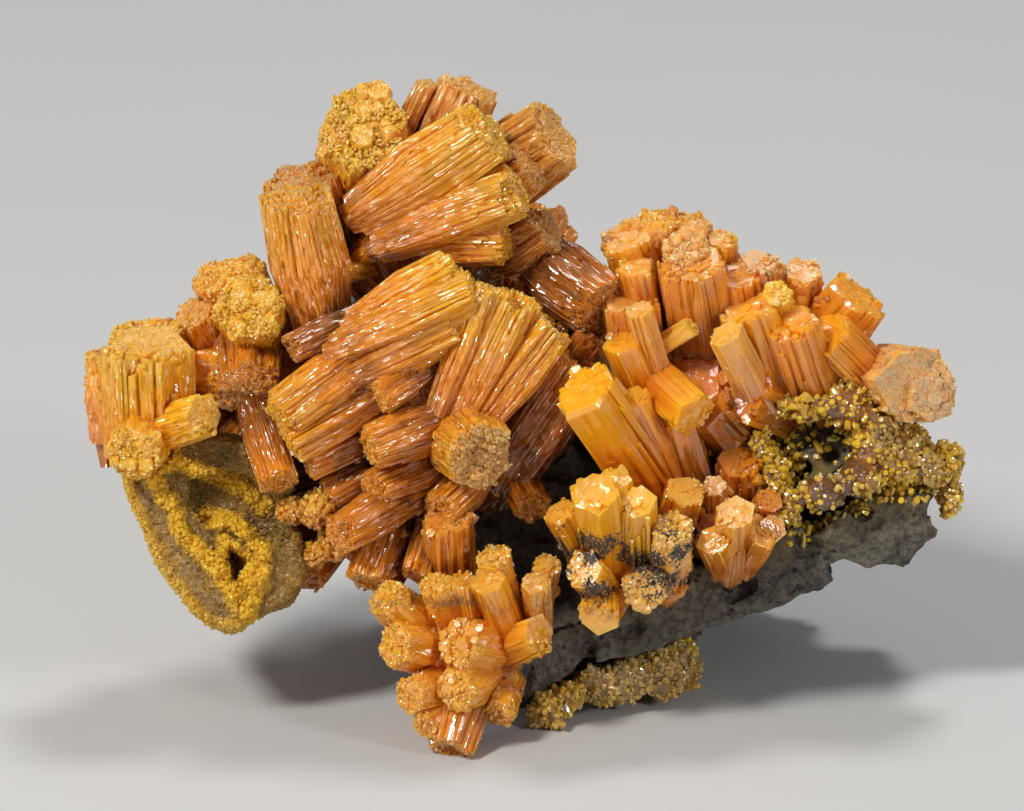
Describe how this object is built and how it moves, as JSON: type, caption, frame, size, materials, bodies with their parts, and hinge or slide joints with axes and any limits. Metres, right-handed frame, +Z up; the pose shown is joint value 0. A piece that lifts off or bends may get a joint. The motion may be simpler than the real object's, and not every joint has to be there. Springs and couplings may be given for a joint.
{
  "type": "mimetite crystal cluster on matrix",
  "caption": "Cluster of orange barrel-shaped hexagonal crystals, many of them bundles of fine fibres, in sprays on a broken plate of grey rock.",
  "frame": {"origin": "on the ground, under the middle of the specimen's bounding box", "axes": "+Z up, +X along the longest side, -Y towards the side that shows the crystals"},
  "size_m": [0.0878, 0.0486, 0.0615],
  "materials": {
    "matrix": "dull, grainy, pitted stone",
    "fibrous_crystal": "silky, striated, translucent",
    "clear_crystal": "resinous, smooth, translucent",
    "sugary_crystal": "sugary with fine sparkling grains",
    "pale_crystal": "frosted with fine grains",
    "druse": "crust of tiny bright crystals"
  },
  "bodies": {
    "root": {"matrix_rock": "matrix", "centre_spray": "fibrous_crystal", "upper_spray": "fibrous_crystal", "left_cluster": "fibrous_crystal", "hopper_crystal": "sugary_crystal", "right_spray": "clear_crystal", "plate_crystal": "pale_crystal", "spotted_group": "clear_crystal", "small_prisms": "clear_crystal", "lower_cluster": "clear_crystal", "under_cluster": "druse", "yellow_druse": "druse"}
  },
  "joints": []
}
